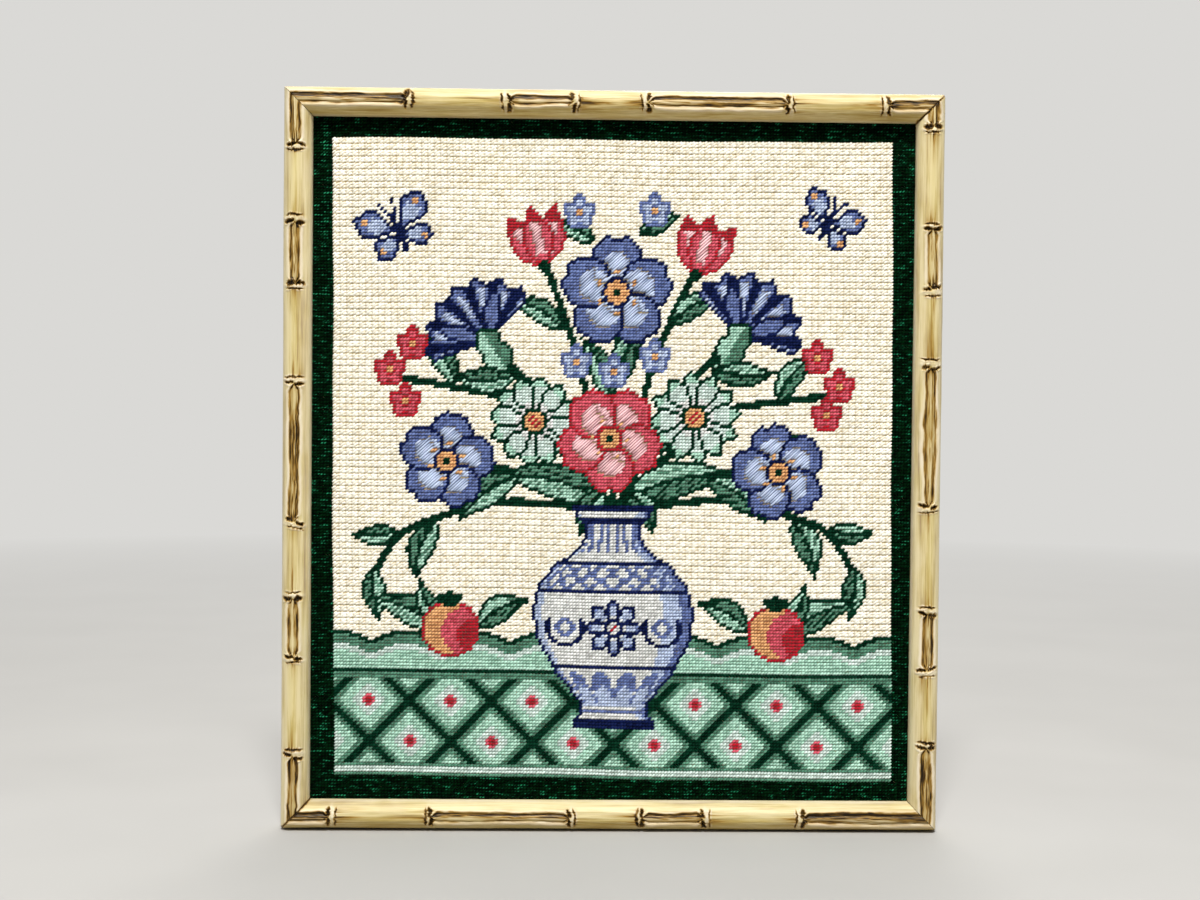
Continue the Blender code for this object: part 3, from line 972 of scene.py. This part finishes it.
def moulding_mesh(name, length):
    """One length of moulding in its own frame: along x, inwards along -y and forwards along z."""
    s, u = section_places(name, length), crown_stations()
    rise, stain_and_shade, wear_and_highlight = carving(s, u, name, length)
    plain = np.stack((u, crown_height(u)), axis=1)
    outwards = plain - (CROWN_CENTRE, CROWN_BASE)
    outwards /= np.linalg.norm(outwards, axis=1)[:, None]
    front = plain + outwards * rise[:, :, None] / 1000
    section = np.concatenate((front, np.tile(BACK_CORNERS, (len(s), 1, 1))), axis=1)
    rows, around = section.shape[:2]
    along = np.broadcast_to(s[:, None], (rows, around))
    points = np.dstack((along, -section[:, :, 0], section[:, :, 1]))
    near = np.arange(rows * around).reshape(rows, around)
    after = np.roll(near, -1, axis=1)
    faces = np.dstack((near[:-1], after[:-1], after[1:], near[1:])).reshape(-1, 4)
    mesh = bpy.data.meshes.new(name)
    mesh.from_pydata(points.reshape(-1, 3).tolist(), [], faces.tolist())

    outline = np.concatenate((plain, BACK_CORNERS, plain[:1]))
    distance = np.concatenate(([0], np.cumsum(np.linalg.norm(np.diff(outline, axis=0), axis=1))))
    row, column = np.divmod(np.arange(len(faces)), around)
    far = 0.01 + 0.98 * s[row[:, None] + (0, 0, 1, 1)] / s[-1]
    wide = 0.01 + 0.93 * distance[column[:, None] + (0, 1, 1, 0)] / distance[-1]
    fill(mesh.uv_layers.new(name="OFBake").data, "uv", np.dstack((far, wide)))

    for kind, values in (("stain_and_shade", stain_and_shade), ("wear_and_highlight", wear_and_highlight)):
        add_attribute(mesh, kind, np.pad(values, ((0, 0), (0, len(BACK_CORNERS)))))
    grain = np.empty((rows, around, 3))
    grain[:, :, 0] = s[:, None] + random.uniform(0, 50)
    grain[:, :, 1] = distance[:-1]
    grain[:, :, 2] = random.uniform(0, 50)
    add_attribute(mesh, "grain", grain)
    bare = (column > len(u)) & (column < len(u) + 3)
    fill(mesh.polygons, "material_index", bare, np.int32)
    return mesh


def cut_mitre(bm, corner, slope):
    """Cuts one end off at 45 degrees and closes it, half a gap back from the true mitre."""
    normal = Vector((-slope, -1, 0)).normalized()
    cut = bmesh.ops.bisect_plane(
        bm,
        geom=bm.verts[:] + bm.edges[:] + bm.faces[:],
        plane_co=Vector((corner, 0, 0)) - normal * MITRE_GAP / 2,
        plane_no=normal,
        clear_outer=True,
    )
    rim = [piece for piece in cut["geom_cut"] if isinstance(piece, bmesh.types.BMEdge)]
    made = bmesh.ops.contextual_create(bm, geom=rim)["faces"]
    bake = bm.loops.layers.uv["OFBake"]
    start = 0.05 if corner == 0 else 0.55
    for face in made:
        face.material_index = 1
        for loop in face.loops:
            place = loop.vert.co
            loop[bake].uv = (start - place.y / FACE * 0.4, 0.955 + place.z / FACE * 0.035)


def finish_mesh(mesh, bm, *materials):
    """Writes the bmesh back, smooth but for its hard edges."""
    bm.to_mesh(mesh)
    bm.free()
    mesh.shade_smooth()
    mesh.set_sharp_from_angle(angle=SHARP_ANGLE)
    for material in materials:
        mesh.materials.append(material)


def add_moulding(name, length, outer_middle, quarter_turns, materials):
    """Turns run clockwise from the top rail, seen from the front."""
    mesh = moulding_mesh(name, length)
    bm = bmesh.new()
    bm.from_mesh(mesh)
    cut_mitre(bm, 0, 1)
    cut_mitre(bm, length, -1)
    bmesh.ops.recalc_face_normals(bm, faces=bm.faces[:])
    bmesh.ops.translate(bm, verts=bm.verts[:], vec=(-length / 2, 0, 0))
    facing = Matrix.Rotation(math.pi / 2, 4, "X")
    turned = Matrix.Rotation(quarter_turns * math.pi / 2, 4, "Y")
    bm.transform(Matrix.Translation(outer_middle) @ turned @ facing)
    finish_mesh(mesh, bm, *materials)
    piece = linked("carved_" + name, mesh)
    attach(piece, "root")
    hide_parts(name)


# A sheet's softened edge, and the squares of the canvas's and the board's grids
SOFT_EDGE = 0.0003
CANVAS_STEP, BOARD_STEP = 0.006, 0.0075


def add_slab(name, node, front, back, step, material):
    """A closed thin sheet on a grid of squares, with softened edges."""
    low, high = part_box(node)
    columns, rows = round((high.x - low.x) / step), round((high.z - low.z) / step)
    x, z = np.meshgrid(np.linspace(low.x, high.x, columns + 1), np.linspace(low.z, high.z, rows + 1))
    rim = np.ones_like(x, bool)
    rim[1:-1, 1:-1] = False
    sides = [np.dstack((x, y + edge * rim, z)) for y, edge in ((front, SOFT_EDGE), (back, -SOFT_EDGE))]
    index = np.arange(2 * x.size).reshape(2, rows + 1, columns + 1)
    faces = []
    for face in index:
        corners = (face[:-1, :-1], face[:-1, 1:], face[1:, 1:], face[1:, :-1])
        faces.append(np.dstack(corners).reshape(-1, 4))
    for near, far in (index[:, 0], index[:, :, -1], index[:, -1, ::-1], index[:, ::-1, 0]):
        faces.append(np.stack((near[:-1], near[1:], far[1:], far[:-1]), axis=1))
    mesh = bpy.data.meshes.new(name)
    points = np.concatenate(sides).reshape(-1, 3)
    mesh.from_pydata(points.tolist(), [], np.concatenate(faces).tolist())
    bm = bmesh.new()
    bm.from_mesh(mesh)
    bmesh.ops.recalc_face_normals(bm, faces=bm.faces[:])
    finish_mesh(mesh, bm, material)
    piece = linked(name, mesh)
    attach(piece, "root")
    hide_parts(node)
    return piece


# The stage, in metres and watts
FLOOR_RADIUS, FLOOR_GAP = 6, 0.0008
LAMPS = (
    # name, place, size, watts, colour
    ("key", (-0.06, -1.85, 2.55), 0.8, 140, (1, 0.99, 0.98)),
    ("rear", (0.2, 1.9, 1.1), 1.2, 14, (1, 0.98, 0.95)),
)
CAMERA_PLACE = (-0.0305, -1.0694, -0.1898)
CAMERA_TURN = (math.pi / 2 - 0.0226, -0.0091, -0.0209)
LENS, SENSOR = 50, 36


def backdrop_tone(nodes, direction):
    """The backdrop's colour in a direction: paler behind the picture than in front of it."""
    split = nodes.add("SeparateXYZ", {0: direction})
    share = nodes.spread(split.outputs["Y"], -0.45, 0.75)
    return nodes.mix(share, linear(BACKDROP_FRONT), linear(BACKDROP_REAR))


def add_floor():
    """A pale floor that fades into the backdrop, so that no horizon shows."""
    mesh = bpy.data.meshes.new("floor")
    bm = bmesh.new()
    bmesh.ops.create_circle(bm, cap_ends=True, segments=96, radius=FLOOR_RADIUS)
    bm.to_mesh(mesh)
    bm.free()
    nodes = Nodes("pale_floor")
    place = nodes.place()
    reach = nodes.add("VectorMath", {0: place}, operation="LENGTH").outputs["Value"]
    direction = nodes.add("VectorMath", {0: place}, operation="NORMALIZE").outputs["Vector"]
    nodes.set(Base_Color=nodes.ramp(nodes.noise(place, 6), (0.3, FLOOR_DEEP), (0.7, FLOOR_PALE)))
    nodes.set(Roughness=0.8)
    glow = nodes.add("Emission", {"Color": backdrop_tone(nodes, direction)})
    share = nodes.spread(reach, 0.5, 2.6)
    blend = nodes.add("MixShader", {0: share, 1: nodes.shader.outputs[0], 2: glow.outputs[0]})
    nodes.feed(nodes.tree.nodes["Material Output"].inputs["Surface"], blend.outputs[0])
    mesh.materials.append(nodes.owner)
    floor = linked("floor", mesh)
    floor.location = (MIDDLE.x, 0, BOTTOM - FLOOR_GAP)


def add_lamp(name, place, size, watts, colour):
    lamp = bpy.data.lights.new(name, "AREA")
    lamp.shape = "DISK"
    lamp.size = size
    lamp.energy = watts
    lamp.color = colour
    holder = linked(name, lamp)
    holder.location = place
    towards = MIDDLE - Vector(place)
    holder.rotation_euler = towards.to_track_quat("-Z", "Y").to_euler()


def set_stage():
    """The floor, two soft lamps and a pale backdrop all round."""
    add_floor()
    for lamp in LAMPS:
        add_lamp(*lamp)
    nodes = Nodes("studio", "worlds")
    bpy.context.scene.world = nodes.owner
    direction = nodes.add("TexCoord").outputs["Generated"]
    nodes.feed(nodes.tree.nodes["Background"].inputs["Color"], backdrop_tone(nodes, direction))
    bpy.context.scene.view_settings.view_transform = "Standard"


def add_camera():
    """The photo's view: almost face on, from a little above the middle."""
    lens = bpy.data.cameras.new("camera")
    lens.lens = LENS
    lens.sensor_width = SENSOR
    camera = linked("camera", lens)
    camera.location = CAMERA_PLACE
    camera.rotation_euler = CAMERA_TURN
    bpy.context.scene.camera = camera


def add_needlepoint():
    """The canvas with every stitch on it: one piece to a yarn, or more where there are many."""
    draw_chart()
    plan = plan_stitches()
    middle = lattice(plan[:, 2] + plan[:, 4] / 2, plan[:, 3] + plan[:, 4] / 2)
    past = HIDDEN * STITCH
    seen = (middle > OPENING_LOW - past) & (middle < OPENING_HIGH + past)
    plan = plan[seen.all(axis=1)]
    for index, yarn in enumerate(YARN_NAMES):
        rows = plan[plan[:, 0] == index]
        parts = 1 + len(rows) // MOST_STITCHES
        if parts == 1:
            stitch_object("stitches_" + yarn, rows, yarn)
            continue
        rows = rows[np.argsort(rows[:, 3], kind="stable")]
        for part, some in enumerate(np.array_split(rows, parts)):
            stitch_object(f"stitches_{yarn}_{part + 1}", some, yarn)
    node = "needlepoint_canvas"
    cloth = canvas_material()
    ground = add_slab("canvas_ground", node, GROUND_FRONT, CANVAS_BACK, CANVAS_STEP, cloth)


def add_frame():
    """The four lengths of moulding, clockwise from the top."""
    materials = (wood_material(), raw_wood_material())
    wide, tall = RIGHT - LEFT, TOP - BOTTOM
    lengths = (
        ("rail_top", wide, (MIDDLE.x, 0, TOP)),
        ("stile_right", tall, (RIGHT, 0, MIDDLE.z)),
        ("rail_bottom", wide, (MIDDLE.x, 0, BOTTOM)),
        ("stile_left", tall, (LEFT, 0, MIDDLE.z)),
    )
    for turns, (name, length, outer_middle) in enumerate(lengths):
        add_moulding(name, length, outer_middle, turns, materials)


def add_board():
    low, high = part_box("mount_board")
    add_slab("backing_board", "mount_board", low.y, high.y, BOARD_STEP, card_material())


add_needlepoint()
add_frame()
add_board()
set_stage()
add_camera()
